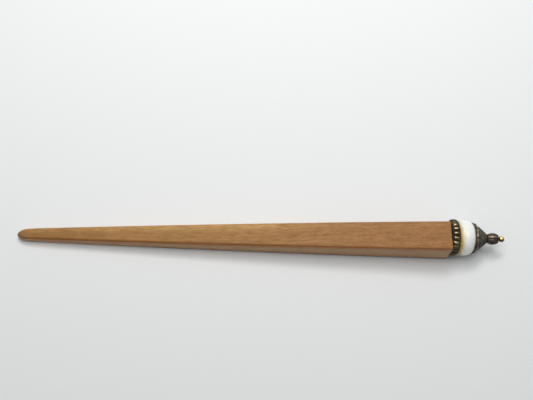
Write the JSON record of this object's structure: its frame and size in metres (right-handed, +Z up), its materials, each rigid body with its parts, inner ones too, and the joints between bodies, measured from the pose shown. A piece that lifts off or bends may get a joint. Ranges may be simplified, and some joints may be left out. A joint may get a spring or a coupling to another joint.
{
  "type": "hair pin",
  "caption": "Tapered square wooden hair stick with a rounded point; a ribbed metal ring, white bead, metal cone cap and lobed bead are threaded on a ball-headed wire at its thick end.",
  "frame": {"origin": "on the surface that the pin lies on, under the middle of its length and of the bead stack", "axes": "+X from the point of the shank to the ball, along the pin as seen from above; +Z up, away from the surface; the pin's own axis rises towards the ball by 1.8 degrees, because the pin lies on its spacer ring and on the underside of its point"},
  "size_m": [0.1651, 0.0125, 0.0124],
  "materials": {
    "wood": "fine straight-grained fruit wood, sanded and oiled, satin",
    "glue": "cured clear amber epoxy",
    "polished_brass": "polished",
    "antique_brass": "antiqued: dark brown in the recesses, worn to pale gold on the raised parts",
    "antique_bronze": "antiqued dark bronze, lightly worn on the lobes",
    "white_glaze": "glossy opaque white, stained amber at the edge beside the ring"
  },
  "bodies": {
    "stick": {"wooden_shank": "wood", "glue_plug": "glue", "ball_head_pin": "polished_brass"},
    "spacer_ring": {"ribbed_spacer_ring": "antique_brass"},
    "bead": {"white_bead": "white_glaze"},
    "cap": {"cone_cap": "antique_brass"},
    "melon": {"melon_bead": "antique_bronze"}
  },
  "joints": [
    {"name": "ring_spin", "type": "hinge", "parent": "stick", "child": "spacer_ring", "pos_m": [0.0653, -0.00004, 0.00619], "axis": [0.9992, -0.0262, 0.0308], "continuous": true},
    {"name": "bead_spin", "type": "hinge", "parent": "stick", "child": "bead", "pos_m": [0.069, -0.00014, 0.0063], "axis": [0.9992, -0.0262, 0.0308], "continuous": true},
    {"name": "cap_spin", "type": "hinge", "parent": "stick", "child": "cap", "pos_m": [0.07405, -0.00027, 0.00646], "axis": [0.9992, -0.0262, 0.0308], "continuous": true},
    {"name": "melon_spin", "type": "hinge", "parent": "stick", "child": "melon", "pos_m": [0.07844, -0.00038, 0.00659], "axis": [0.9992, -0.0262, 0.0308], "continuous": true}
  ]
}
